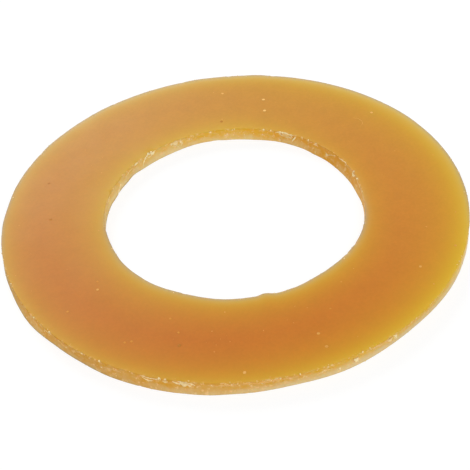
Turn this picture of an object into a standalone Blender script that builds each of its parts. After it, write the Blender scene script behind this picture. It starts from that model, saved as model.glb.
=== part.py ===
"""Flat seal ring of a flush valve, for Blender 4.5.

One soft washer, punched from translucent amber sheet and trimmed by hand, so that its cut
edges wander off their circles. It lies on its lower face: metres, +Z up, the origin at the
middle of that face. Azimuths are degrees counter-clockwise from +X, seen from above.
"""

from math import atan2, cos, degrees, hypot, pi, radians, sin
from typing import NamedTuple

import bmesh
import bpy

MM = 0.001

# Driving sizes of the ring
OUTSIDE_DIAMETER = 63.0 * MM
BORE_DIAMETER = 35.3 * MM
THICKNESS = 2.0 * MM

# Section of a cut edge. The blade leaves both lips almost sharp, and the squeezed sheet
# springs back into a slightly hollow wall.
ENTRY_LIP_RADIUS = 0.06 * MM
EXIT_LIP_RADIUS = 0.08 * MM
WALL_HOLLOW = 0.07 * MM

# Fineness of the mesh
TURN_STEPS = 180
ENTRY_LIP_SEGMENTS = 3
EXIT_LIP_SEGMENTS = 2
WALL_SEGMENTS = 5
MERGE_DISTANCE = 0.001 * MM
SHARP_ANGLE = radians(50.0)

RING_NAME = "seal_ring"
COLLECTION_NAME = "flush_valve_seal"
MATERIAL_NAME = "amber_silicone"
AMBER = (0.60, 0.24, 0.055, 1.0)
AMBER_ROUGHNESS = 0.42
AMBER_SUBSURFACE = 0.25
AMBER_SUBSURFACE_REACH = 1.5 * MM


class Stray(NamedTuple):
    """A stretch of a cut edge that runs off its circle, most at its middle."""

    azimuth: float
    half_width: float
    outward: float


class Bite(NamedTuple):
    """A shallow place in a cut wall where the sheet tore instead of being cut."""

    azimuth: float
    half_width: float
    below_top: float
    half_height: float
    depth: float


# Upper and lower edges of the outside. Where only the lower edge runs in, the wall is undercut.
OUTSIDE_UPPER = (
    Stray(34.0, 9.0, 0.06 * MM),
    Stray(80.0, 5.0, 0.12 * MM),
    Stray(97.0, 6.0, 0.09 * MM),
    Stray(126.0, 8.0, 0.08 * MM),
    Stray(146.0, 6.0, 0.06 * MM),
    Stray(172.0, 8.0, -0.10 * MM),
)
OUTSIDE_LOWER = (
    Stray(193.0, 13.0, 0.17 * MM),
    Stray(210.0, 14.0, 0.25 * MM),
    Stray(214.0, 8.0, 0.08 * MM),
    Stray(238.0, 9.0, 0.11 * MM),
    Stray(250.0, 20.0, 0.20 * MM),
    Stray(261.0, 6.0, 0.08 * MM),
    Stray(280.0, 12.0, -0.18 * MM),
    Stray(310.0, 21.0, -0.34 * MM),
)

# Upper and lower edges of the bore, with the nib that the trimming left at the front
BORE_UPPER = (
    Stray(28.0, 22.0, 0.18 * MM),
    Stray(197.0, 22.0, -0.22 * MM),
    Stray(222.0, 16.0, -0.08 * MM),
    Stray(244.0, 17.0, -0.20 * MM),
    Stray(265.0, 10.0, 0.06 * MM),
    Stray(279.5, 4.0, -0.25 * MM),
    Stray(285.5, 5.0, 0.12 * MM),
    Stray(292.0, 12.0, 0.21 * MM),
    Stray(312.0, 26.0, 0.15 * MM),
    Stray(334.0, 26.0, 0.31 * MM),
)
BORE_LOWER = (
    Stray(9.0, 9.0, -0.12 * MM),
    Stray(25.0, 32.0, -0.30 * MM),
    Stray(45.0, 8.0, -0.14 * MM),
    Stray(65.0, 10.0, 0.08 * MM),
    Stray(78.0, 13.0, -0.09 * MM),
    Stray(95.0, 5.0, 0.09 * MM),
    Stray(104.0, 16.0, 0.24 * MM),
    Stray(140.5, 7.0, 0.22 * MM),
    Stray(158.0, 6.0, -0.10 * MM),
)

# Torn places of the two walls
OUTSIDE_BITES = (
    Bite(256.0, 4.0, 0.50 * MM, 0.60 * MM, 0.14 * MM),
    Bite(294.0, 3.0, 0.90 * MM, 0.60 * MM, 0.12 * MM),
    Bite(303.0, 3.0, 0.60 * MM, 0.50 * MM, 0.10 * MM),
)
BORE_BITES = (
    Bite(130.0, 5.0, 0.30 * MM, 0.70 * MM, 0.18 * MM),
    Bite(112.0, 5.0, 0.50 * MM, 0.60 * MM, 0.12 * MM),
    Bite(61.0, 5.5, 0.35 * MM, 0.70 * MM, 0.14 * MM),
    Bite(16.0, 4.0, 0.20 * MM, 0.60 * MM, 0.14 * MM),
)


def clear_scene():
    """Remove every object of the scene that the script is run in."""
    for old in list(bpy.data.objects):
        bpy.data.objects.remove(old, do_unlink=True)


def quarter_arc(centre, radius, start, segments):
    """Points of a quarter turn clockwise from the angle start, in degrees, in the XZ plane."""
    angles = [radians(start - 90.0 * i / segments) for i in range(segments + 1)]
    return [(centre[0] + radius * cos(a), centre[1] + radius * sin(a)) for a in angles]


def wall_points(radius, lip_top, lip_bottom, side):
    """Hollow wall between two lips, top to bottom; side is 1 outside and -1 in the bore."""
    span = lip_top - lip_bottom
    points = []
    for i in range(1, WALL_SEGMENTS):
        share = i / WALL_SEGMENTS
        hollow = WALL_HOLLOW * sin(pi * share)
        points.append((radius - side * hollow, lip_top - span * share))
    return points


def cut_edge(radius, side):
    """One cut edge of the section, from the top face to the bottom face."""
    room = 0.5 * THICKNESS
    entry = min(ENTRY_LIP_RADIUS, room)
    exit_lip = min(EXIT_LIP_RADIUS, room)
    upper = quarter_arc((radius - entry, THICKNESS - entry), entry, 90.0, ENTRY_LIP_SEGMENTS)
    lower = quarter_arc((radius - exit_lip, exit_lip), exit_lip, 0.0, EXIT_LIP_SEGMENTS)
    wall = wall_points(radius, THICKNESS - entry, exit_lip, 1)
    edge = upper + wall + lower
    if side < 0:
        edge = [(2.0 * radius - x, z) for x, z in edge]
    return edge


def section():
    """The ring's closed section: down the outside, in along the bottom and up the bore."""
    outside = cut_edge(0.5 * OUTSIDE_DIAMETER, 1)
    bore = cut_edge(0.5 * BORE_DIAMETER, -1)
    return outside + bore[::-1]


def turned_ring(collection):
    """Turn the section about Z with a Screw modifier and give the result as a plain mesh."""
    points = section()
    profile = bpy.data.meshes.new("section")
    loop = [(i, (i + 1) % len(points)) for i in range(len(points))]
    profile.from_pydata([(x, 0.0, z) for x, z in points], loop, [])
    turned = bpy.data.objects.new("section", profile)
    collection.objects.link(turned)
    screw = turned.modifiers.new("Turn", "SCREW")
    screw.axis = "Z"
    screw.angle = 2.0 * pi
    screw.steps = TURN_STEPS
    screw.render_steps = TURN_STEPS
    screw.use_merge_vertices = True
    screw.merge_threshold = MERGE_DISTANCE
    graph = bpy.context.evaluated_depsgraph_get()
    mesh = bpy.data.meshes.new_from_object(turned.evaluated_get(graph))
    bpy.data.objects.remove(turned, do_unlink=True)
    bpy.data.meshes.remove(profile)
    return mesh


def swell(off, half_width):
    """Weight of a stretch: 1 at its middle, falling smoothly to 0 at half_width."""
    if abs(off) >= half_width:
        return 0.0
    return cos(0.5 * pi * off / half_width) ** 2


def turn_between(azimuth, middle):
    """Signed angle from middle to azimuth, in degrees, the short way round."""
    return (azimuth - middle + 180.0) % 360.0 - 180.0


def stray_at(strays, azimuth):
    """Outward shift of a cut edge at an azimuth."""
    return sum(s.outward * swell(turn_between(azimuth, s.azimuth), s.half_width) for s in strays)


def bite_at(bites, azimuth, height):
    """Depth torn out of a cut wall at an azimuth and a height over the bottom face."""
    depth = 0.0
    for bite in bites:
        middle = THICKNESS - bite.below_top
        across = swell(turn_between(azimuth, bite.azimuth), bite.half_width)
        depth += bite.depth * across * swell(height - middle, bite.half_height)
    return depth


def wander_edges(mesh):
    """Run the turned ring's cut edges off their circles and tear its walls."""
    middle_radius = 0.25 * (OUTSIDE_DIAMETER + BORE_DIAMETER)
    form = bmesh.new()
    form.from_mesh(mesh)
    for vert in form.verts:
        radius = hypot(vert.co.x, vert.co.y)
        azimuth = degrees(atan2(vert.co.y, vert.co.x))
        height = vert.co.z
        rise = height / THICKNESS
        if radius > middle_radius:
            upper, lower = stray_at(OUTSIDE_UPPER, azimuth), stray_at(OUTSIDE_LOWER, azimuth)
            torn = -bite_at(OUTSIDE_BITES, azimuth, height)
        else:
            upper, lower = stray_at(BORE_UPPER, azimuth), stray_at(BORE_LOWER, azimuth)
            torn = bite_at(BORE_BITES, azimuth, height)
        shifted = radius + upper * rise + lower * (1.0 - rise) + torn
        vert.co.x *= shifted / radius
        vert.co.y *= shifted / radius
    form.to_mesh(mesh)
    form.free()


def amber_material():
    """Translucent amber silicone, satin and a little waxy."""
    material = bpy.data.materials.new(MATERIAL_NAME)
    material.use_nodes = True
    shader = material.node_tree.nodes["Principled BSDF"]
    shader.inputs["Base Color"].default_value = AMBER
    shader.inputs["Metallic"].default_value = 0.0
    shader.inputs["Roughness"].default_value = AMBER_ROUGHNESS
    shader.inputs["Subsurface Weight"].default_value = AMBER_SUBSURFACE
    shader.inputs["Subsurface Scale"].default_value = AMBER_SUBSURFACE_REACH
    return material


def seal_ring(collection):
    """The whole object: one flat ring with hand-trimmed edges."""
    mesh = turned_ring(collection)
    mesh.name = RING_NAME
    wander_edges(mesh)
    mesh.shade_smooth()
    mesh.set_sharp_from_angle(angle=SHARP_ANGLE)
    mesh.materials.append(amber_material())
    ring = bpy.data.objects.new(RING_NAME, mesh)
    collection.objects.link(ring)
    return ring


def main():
    """Build the seal in its own collection."""
    clear_scene()
    collection = bpy.data.collections.new(COLLECTION_NAME)
    bpy.context.scene.collection.children.link(collection)
    seal_ring(collection)


main()
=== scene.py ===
"""Looks of a flat amber flush valve seal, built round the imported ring, for Blender 4.5.

The seal is one soft washer of translucent amber silicone. Its faces are smooth and satin, its
cut edges frosted, torn in places and strewn with crumbs. Metres, +Z up, the ring lying on
its lower face. Azimuths are degrees counter-clockwise from +X, seen from above, so that 270
is the side nearest the camera.
"""

import logging
from collections.abc import Iterable, Mapping, Sequence
from dataclasses import dataclass, field
from enum import Enum
from functools import reduce
from math import cos, pi, radians, sin
from typing import NamedTuple

import bmesh
import bpy
from mathutils import Matrix, Vector


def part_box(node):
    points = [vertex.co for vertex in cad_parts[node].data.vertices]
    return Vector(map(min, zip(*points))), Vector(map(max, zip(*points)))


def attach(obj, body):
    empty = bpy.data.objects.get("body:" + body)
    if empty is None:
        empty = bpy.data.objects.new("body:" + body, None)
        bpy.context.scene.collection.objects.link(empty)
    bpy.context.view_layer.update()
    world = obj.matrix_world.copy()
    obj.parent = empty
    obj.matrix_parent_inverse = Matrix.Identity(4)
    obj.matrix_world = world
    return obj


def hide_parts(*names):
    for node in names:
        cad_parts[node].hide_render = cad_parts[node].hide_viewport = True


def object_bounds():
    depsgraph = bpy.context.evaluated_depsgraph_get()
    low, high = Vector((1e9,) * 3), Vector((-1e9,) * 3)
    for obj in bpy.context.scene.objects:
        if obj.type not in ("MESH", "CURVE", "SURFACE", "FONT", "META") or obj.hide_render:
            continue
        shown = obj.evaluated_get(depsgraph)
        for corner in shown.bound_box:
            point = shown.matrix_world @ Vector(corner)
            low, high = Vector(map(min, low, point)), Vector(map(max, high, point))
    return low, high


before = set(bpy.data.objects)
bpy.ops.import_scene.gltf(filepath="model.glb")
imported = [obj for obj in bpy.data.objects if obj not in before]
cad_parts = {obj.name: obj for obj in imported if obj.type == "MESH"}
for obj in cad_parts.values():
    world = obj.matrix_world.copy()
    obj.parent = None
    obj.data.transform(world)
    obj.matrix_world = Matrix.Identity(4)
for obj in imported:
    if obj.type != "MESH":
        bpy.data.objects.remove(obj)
CAD_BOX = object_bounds()

LOG = logging.getLogger("flush_valve_seal")
MM = 0.001
NODE = "seal_ring"
BODY = "root"
MERGE_DISTANCE = 0.001 * MM

Axes = tuple[float, float, float]
Colour = tuple[float, float, float, float]
Plug = object

WHITE: Colour = (1.0, 1.0, 1.0, 1.0)

# Flattens a place when multiplied with it
LEVEL: Axes = (1.0, 1.0, 0.0)

# Middle of a noise texture's values, and the greatest turn of a grain in radians
NOISE_MIDDLE = 0.5
FULL_TURN = 6.28


class Skin(Enum):
    """The ring's surfaces that carry marks; the value is the lane of its unrolled map."""

    BORE = 0.0
    OUTSIDE = 1.0
    TOP = 2.0


class Input(Enum):
    """Kinds of input that a geometry tree takes."""

    NUMBER = "NodeSocketFloat"
    COUNT = "NodeSocketInt"
    OBJECT = "NodeSocketObject"
    MATERIAL = "NodeSocketMaterial"


class Stray(NamedTuple):
    """A stretch of a cut edge that runs off its circle: degrees, degrees and metres."""

    azimuth: float
    half_width: float
    outward: float


class Bite(NamedTuple):
    """A shallow place where the sheet tore: degrees for the first two, then metres."""

    azimuth: float
    half_width: float
    below_top: float
    half_height: float
    depth: float


class Spot(NamedTuple):
    """A chip, crumb or grain: azimuth in degrees, then millimetres, and its paleness.

    The second number is the depth below the top face on a cut wall, and the radius on top.
    """

    azimuth: float
    along: float
    size: float
    tone: float = 0.8


class Strand(NamedTuple):
    """A torn thread: its skin, its points as in Spot, its width in millimetres, its tone."""

    skin: Skin
    path: tuple[tuple[float, float], ...]
    width: float
    tone: float = 0.8


class Flake(NamedTuple):
    """A curled skin that hangs off a cut wall: degrees, then millimetres, and its tone."""

    skin: Skin
    azimuth: float
    below_top: float
    length: float
    drop: float
    lift: float
    tone: float = 0.6


class Noise(NamedTuple):
    """A noise texture: its scale in waves to the metre, its octaves and their roughness."""

    scale: float
    detail: float = 2.0
    roughness: float = 0.5


class Band(NamedTuple):
    """A range of values, low to high, and what it is carried over to, start to end."""

    low: float
    high: float
    start: float = 0.0
    end: float = 1.0


class GrainForm(NamedTuple):
    """Form of a kind of grain: least and most stretch, greatest turn, and ruggedness."""

    least_stretch: Axes
    most_stretch: Axes
    turn: Axes
    rugged: float


class GrainKind(Enum):
    """Kinds of grain: lumps that point any way, and specks that lie flat."""

    LUMP = GrainForm((0.6, 0.6, 0.45), (1.5, 1.1, 0.9), (FULL_TURN,) * 3, 1.6)
    FLAT = GrainForm((0.8, 0.6, 0.15), (1.3, 1.0, 0.22), (0.0, 0.0, FULL_TURN), 0.5)


# Noise drawn out up and down, like the marks of a blade
DRAG = Noise(2600.0)
DRAG_SQUEEZE: Axes = (1.0, 1.0, 0.25)


class Graph:
    """Adds nodes to one tree and joins them up."""

    def __init__(self, tree: bpy.types.NodeTree) -> None:
        """Start on a tree."""
        self.tree = tree

    def feed(self, socket: bpy.types.NodeSocket, plug: Plug) -> None:
        """Feed one input.

        Args:
            socket: the input.
            plug: the socket to join to it, or the plain value it takes; None leaves it alone.
        """
        if isinstance(plug, bpy.types.NodeSocket):
            self.tree.links.new(plug, socket)
        elif plug is not None:
            socket.default_value = plug

    def node(self, kind: str, *plugs: Plug, **settings: object) -> bpy.types.Node:
        """Add a node, set it up and feed its inputs.

        Args:
            kind: Blender's name for the node.
            *plugs: sockets or plain values for its inputs in order; None leaves one alone.
            **settings: the node's own properties.

        Returns:
            The new node.
        """
        made = self.tree.nodes.new(kind)
        for name, value in settings.items():
            setattr(made, name, value)
        sockets = [s for s in made.inputs if s.enabled]
        for socket, plug in zip(sockets, plugs):
            self.feed(socket, plug)
        return made

    def plug(self, kind: str, *plugs: Plug, **settings: object) -> bpy.types.NodeSocket:
        """Add a node as node() does.

        Args:
            kind: Blender's name for the node.
            *plugs: sockets or plain values for its inputs in order.
            **settings: the node's own properties.

        Returns:
            The node's first output in use.
        """
        made = self.node(kind, *plugs, **settings)
        return next(s for s in made.outputs if s.enabled)

    def maths(self, operation: str, *plugs: Plug) -> bpy.types.NodeSocket:
        """Work out one number from others."""
        return self.plug("ShaderNodeMath", *plugs, operation=operation)

    def total(self, *plugs: Plug) -> bpy.types.NodeSocket:
        """Add up several numbers."""
        return reduce(lambda so_far, plug: self.maths("ADD", so_far, plug), plugs)

    def product(self, *plugs: Plug) -> bpy.types.NodeSocket:
        """Multiply several numbers."""
        return reduce(lambda so_far, plug: self.maths("MULTIPLY", so_far, plug), plugs)

    def vectors(self, operation: str, *plugs: Plug) -> bpy.types.NodeSocket:
        """Work out one vector, or one number, from vectors.

        Args:
            operation: Blender's name for the sum.
            *plugs: the vectors.

        Returns:
            The result's socket.
        """
        made = self.node("ShaderNodeVectorMath", *plugs, operation=operation)
        single = operation in ("LENGTH", "DISTANCE", "DOT_PRODUCT")
        return made.outputs["Value" if single else "Vector"]

    def scaled(self, vector: Plug, by: Plug) -> bpy.types.NodeSocket:
        """Scale a vector.

        Args:
            vector: the vector or colour.
            by: the number it is scaled by.

        Returns:
            The scaled vector's socket.
        """
        made = self.node("ShaderNodeVectorMath", vector, operation="SCALE")
        self.feed(made.inputs["Scale"], by)
        return made.outputs["Vector"]

    def axes(self, vector: Plug) -> bpy.types.NodeOutputs:
        """Split a vector into X, Y and Z."""
        return self.node("ShaderNodeSeparateXYZ", vector).outputs

    def blend(self, share: Plug, low: Plug, high: Plug) -> bpy.types.NodeSocket:
        """Mix two numbers by a share from 0 to 1."""
        return self.plug("ShaderNodeMix", share, low, high, data_type="FLOAT")

    def tint(self, share: Plug, low: Plug, high: Plug) -> bpy.types.NodeSocket:
        """Mix two colours by a share from 0 to 1."""
        return self.plug("ShaderNodeMix", share, low, high, data_type="RGBA")

    def spread(self, value: Plug, band: Band) -> bpy.types.NodeSocket:
        """Carry a number over by a band, smoothly and held at both ends."""
        return self.plug("ShaderNodeMapRange", value, *band, interpolation_type="SMOOTHSTEP")

    def texture(self, where: Plug, noise: Noise) -> bpy.types.NodeOutputs:
        """Add a noise texture.

        Args:
            where: the place at which it is read.
            noise: its scale, octaves and roughness.

        Returns:
            Its outputs: Fac is one number about 0.5, and Color is three.
        """
        made = self.node("ShaderNodeTexNoise", where)
        for title, value in zip(("Scale", "Detail", "Roughness"), noise):
            made.inputs[title].default_value = value
        return made.outputs

    def noise(self, where: Plug, noise: Noise) -> bpy.types.NodeSocket:
        """Noise about 0.5."""
        return self.texture(where, noise)["Fac"]

    def drag(self, where: Plug) -> bpy.types.NodeSocket:
        """Noise about 0.5 in the marks of a blade."""
        return self.noise(self.vectors("MULTIPLY", where, DRAG_SQUEEZE), DRAG)

    def about_zero(self, noise: Plug) -> bpy.types.NodeSocket:
        """Bring noise about 0.5 down to noise about 0."""
        return self.maths("SUBTRACT", noise, NOISE_MIDDLE)

    def sway(self, where: Plug, noise: Noise) -> bpy.types.NodeSocket:
        """A vector of noise about 0."""
        return self.vectors("SUBTRACT", self.texture(where, noise)["Color"], (NOISE_MIDDLE,) * 3)


class GeometryTree(Graph):
    """A geometry tree with named inputs, which makes one mesh."""

    def __init__(self, name: str, inputs: Mapping[str, Input]) -> None:
        """Make the tree and its inputs.

        Args:
            name: the tree's name.
            inputs: kind of each named input.
        """
        super().__init__(bpy.data.node_groups.new(name, "GeometryNodeTree"))
        for title, kind in inputs.items():
            self.tree.interface.new_socket(title, in_out="INPUT", socket_type=kind.value)
        self.tree.interface.new_socket("Geometry", in_out="OUTPUT",
                                       socket_type="NodeSocketGeometry")
        self.given = self.tree.nodes.new("NodeGroupInput").outputs
        self.result = self.tree.nodes.new("NodeGroupOutput").inputs[0]

    def contents(self, title: str) -> bpy.types.NodeSocket:
        """The geometry of the object given to a named input."""
        return self.node("GeometryNodeObjectInfo", self.given[title]).outputs["Geometry"]

    def position(self) -> bpy.types.NodeSocket:
        """Where each point is."""
        return self.plug("GeometryNodeInputPosition")

    def normal(self) -> bpy.types.NodeSocket:
        """Way that the surface faces."""
        return self.plug("GeometryNodeInputNormal")

    def attribute(self, name: str) -> bpy.types.NodeSocket:
        """A named number of the geometry at hand."""
        return self.plug("GeometryNodeInputNamedAttribute", name, data_type="FLOAT")

    def store(self, geometry: Plug, name: str, value: Plug) -> bpy.types.NodeSocket:
        """Keep a number on every point under a name."""
        return self.plug("GeometryNodeStoreNamedAttribute", geometry, None, name, value,
                         data_type="FLOAT", domain="POINT")

    def sample(self, source: Plug, value: Plug, index: Plug,
               kind: str = "FLOAT") -> bpy.types.NodeSocket:
        """Read a value from one point of another geometry."""
        return self.plug("GeometryNodeSampleIndex", source, value, index, data_type=kind,
                         domain="POINT")

    def lot(self, low: float, high: float, seed: Plug) -> bpy.types.NodeSocket:
        """A number drawn for each point."""
        return self.plug("FunctionNodeRandomValue", low, high, None, seed, data_type="FLOAT")

    def vector_lot(self, low: Sequence[float], high: Sequence[float],
                   seed: Plug) -> bpy.types.NodeSocket:
        """A vector drawn for each point."""
        return self.plug("FunctionNodeRandomValue", low, high, None, seed,
                         data_type="FLOAT_VECTOR")

    def moved(self, geometry: Plug, place: Plug = None, by: Plug = None) -> bpy.types.NodeSocket:
        """Set points at a place, or move them by an offset."""
        return self.plug("GeometryNodeSetPosition", geometry, None, place, by)

    def seated(self, geometry: Plug, surface: Plug, proud: Plug) -> bpy.types.NodeSocket:
        """Bring points onto a surface.

        Args:
            geometry: the points.
            surface: the surface they come to lie on.
            proud: height over the surface.

        Returns:
            The points in their new places.
        """
        foot = self.node("GeometryNodeProximity", surface, target_element="FACES")
        facing = self.plug("GeometryNodeSampleNearestSurface", surface, self.normal(), None,
                           self.position(), data_type="FLOAT_VECTOR")
        place = self.vectors("ADD", foot.outputs["Position"], self.scaled(facing, proud))
        return self.moved(geometry, place)

    def joined(self, *parts: Plug) -> bpy.types.NodeSocket:
        """Put several geometries together.

        Args:
            *parts: the geometries.

        Returns:
            The joined geometry's socket.
        """
        made = self.node("GeometryNodeJoinGeometry")
        for part in parts:
            self.tree.links.new(part, made.inputs[0])
        return made.outputs[0]

    def finish(self, geometry: Plug) -> None:
        """End the tree in plain, smooth geometry of the material named Finish.

        Args:
            geometry: what the tree has made.
        """
        plain = self.plug("GeometryNodeRealizeInstances", geometry)
        smooth = self.plug("GeometryNodeSetShadeSmooth", plain)
        dressed = self.plug("GeometryNodeSetMaterial", smooth, None, self.given["Finish"])
        self.tree.links.new(dressed, self.result)

    def make(self, name: str, values: Mapping[str, object]) -> bpy.types.Object:
        """Run the tree once and keep what it makes as a plain mesh.

        Args:
            name: the new object's name.
            values: value of each named input.

        Returns:
            The new object, at the origin, with no modifier left.
        """
        made = bpy.data.objects.new(name, bpy.data.meshes.new(name))
        bpy.context.scene.collection.objects.link(made)
        modifier = made.modifiers.new(self.tree.name, "NODES")
        modifier.node_group = self.tree
        for item in self.tree.interface.items_tree:
            if item.name in values:
                modifier[item.identifier] = values[item.name]
        layer = bpy.context.evaluated_depsgraph_get()
        mesh = bpy.data.meshes.new_from_object(
            made.evaluated_get(layer), preserve_all_data_layers=True, depsgraph=layer)
        empty = made.data
        made.modifiers.clear()
        made.data = mesh
        bpy.data.meshes.remove(empty)
        mesh.name = name
        return made


def guide(name: str, points: Sequence[Sequence[float]], edges: Sequence[tuple[int, int]] = (),
          **numbers: Iterable[float]) -> bpy.types.Object:
    """Make a guide of bare points for a geometry tree to read.

    Args:
        name: the guide's name.
        points: its points.
        edges: pairs of points that are joined.
        **numbers: one number to a point, under each name.

    Returns:
        The guide, out of the render.
    """
    mesh = bpy.data.meshes.new(name)
    mesh.from_pydata([tuple(p) for p in points], edges, [])
    for title, values in numbers.items():
        layer = mesh.attributes.new(title, "FLOAT", "POINT")
        layer.data.foreach_set("value", list(values))
    made = bpy.data.objects.new(name, mesh)
    bpy.context.scene.collection.objects.link(made)
    made.hide_render = True
    return made


def discard(guides: Iterable[bpy.types.Object]) -> None:
    """Remove guides that have served.

    Args:
        guides: the guides.
    """
    for old in guides:
        mesh = old.data
        bpy.data.objects.remove(old, do_unlink=True)
        bpy.data.meshes.remove(mesh)


def keep_inside(piece: bpy.types.Object) -> None:
    """Press what stands proud of the solid's box back onto the box.

    Args:
        piece: a plain mesh at the origin.
    """
    low, high = CAD_BOX
    for vert in piece.data.vertices:
        for axis in range(3):
            vert.co[axis] = min(max(vert.co[axis], low[axis]), high[axis])


def hand_over(piece: bpy.types.Object) -> None:
    """Join a finished piece to the frame and report it.

    Args:
        piece: a plain mesh at the origin.
    """
    keep_inside(piece)
    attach(piece, BODY)
    faces = sum(len(p.vertices) - 2 for p in piece.data.polygons)
    LOG.info("%s: %d triangles", piece.name, faces)


class ShaderTree(Graph):
    """The tree of a new material, with Object coordinates at hand."""

    def __init__(self, name: str) -> None:
        """Start the material.

        Args:
            name: the material's name.
        """
        self.material = bpy.data.materials.new(name)
        self.material.use_nodes = True
        super().__init__(self.material.node_tree)
        self.where = self.node("ShaderNodeTexCoord").outputs["Object"]

    def mark(self, name: str) -> bpy.types.NodeSocket:
        """A named number that the mesh carries."""
        return self.node("ShaderNodeAttribute", attribute_name=name).outputs["Fac"]

    def bump(self, height: Plug, strength: float, distance: float,
             under: Plug = None) -> bpy.types.NodeSocket:
        """Turn a height into fine relief.

        Args:
            height: the height, 0 to 1.
            strength: share of the relief that shows.
            distance: metres that a height of 1 stands for.
            under: the normal of a relief that this one lies on.

        Returns:
            The normal's socket.
        """
        made = self.node("ShaderNodeBump", strength, distance)
        self.feed(made.inputs["Height"], height)
        self.feed(made.inputs["Normal"], under)
        return made.outputs["Normal"]

    def dress(self, values: Mapping[str, Plug]) -> bpy.types.Material:
        """Feed the Principled node.

        Args:
            values: socket or plain value of each named input.

        Returns:
            The finished material.
        """
        shader = self.tree.nodes["Principled BSDF"]
        for title, value in values.items():
            self.feed(shader.inputs[title], value)
        return self.material


@dataclass(frozen=True)
class Swing:
    """A strength that changes smoothly round the ring, with its most or least at an azimuth.

    With a reach under 180 degrees it changes only that far to each side of the azimuth, and
    the change is whole as far as full. A second swing can multiply it.
    """

    mean: float
    change: float
    azimuth: float
    reach: float = 180.0
    full: float = 0.0
    times: "Swing | None" = None

    def at(self, graph: Graph, where: Plug) -> bpy.types.NodeSocket:
        """The strength at a place.

        Args:
            graph: the material's graph.
            where: Object coordinates.

        Returns:
            The strength's socket.
        """
        turn = radians(self.azimuth)
        way = graph.vectors("NORMALIZE", graph.vectors("MULTIPLY", where, LEVEL))
        side = graph.vectors("DOT_PRODUCT", way, (cos(turn), sin(turn), 0.0))
        if self.reach < 180.0:
            side = graph.spread(side, Band(cos(radians(self.reach)), cos(radians(self.full))))
        strength = graph.maths("MULTIPLY_ADD", side, self.change, self.mean)
        if self.times:
            strength = graph.product(strength, self.times.at(graph, where))
        return strength


@dataclass(frozen=True)
class WallTint:
    """How one cut wall's frosting, painted light and painted shade run round the ring and down to
    the floor.

    The three bands are heights above the lower face.
    """

    # Painted shade: a deeper, darker amber on the side of the wall that faces away from the light
    painted_shade_amber: Colour
    depth: Swing
    frost: Colour
    # Frost shares high and low on the wall: real frosting, laid on thicker where the wall faces the
    # light as painted light
    upper: Swing
    lower: Swing
    # Painted light: a gain on the colour, brighter where the wall faces the light, and on the arris
    painted_light: Swing
    # Painted shade: greyer along the foot, where the wall meets the floor
    foot: Swing
    mottle: float
    arris_painted_light: float = 1.03
    shade: Colour = (0.340, 0.230, 0.120, 1.0)
    frost_band: Band = Band(0.0, 1.6 * MM, 1.0, 0.0)
    arris_band: Band = Band(1.70 * MM, 1.98 * MM)
    foot_shade_band: Band = Band(0.05 * MM, 0.40 * MM, 1.0, 0.0)

    def colour(self, graph: Graph, where: Plug, amber: Plug,
               blotch: Plug) -> bpy.types.NodeSocket:
        """The wall's colour.

        Args:
            graph: the material's graph.
            where: Object coordinates.
            amber: colour of the sheet at the edge.
            blotch: noise about 0.5 that breaks the frosting up.

        Returns:
            The colour's socket: the sheet's amber, deeper in painted shade on one side, with more
            frost low down than on top, brightened by painted light round the ring, and greyer along
            the foot as painted shade.
        """
        height = graph.axes(where)["Z"]
        low = graph.spread(height, self.frost_band)
        # Real frosting, with more of it where the wall faces the light as painted light
        share = graph.blend(low, self.upper.at(graph, where), self.lower.at(graph, where))
        share = graph.total(share, graph.product(graph.about_zero(blotch), self.mottle))
        # Painted shade: deeper, darker amber where the wall faces away from the light
        amber = graph.tint(self.depth.at(graph, where), amber, self.painted_shade_amber)
        frosted = graph.tint(share, amber, self.frost)
        # Painted light: the colour scaled brighter where the wall faces the light, and along the
        # arris
        near_top = graph.spread(height, self.arris_band)
        lit = graph.scaled(frosted, graph.blend(near_top, self.painted_light.at(graph, where),
                                                self.arris_painted_light))
        # Painted shade along the foot of the wall
        foot = graph.product(self.foot.at(graph, where), graph.spread(height, self.foot_shade_band))
        return graph.tint(foot, lit, self.shade)


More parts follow.
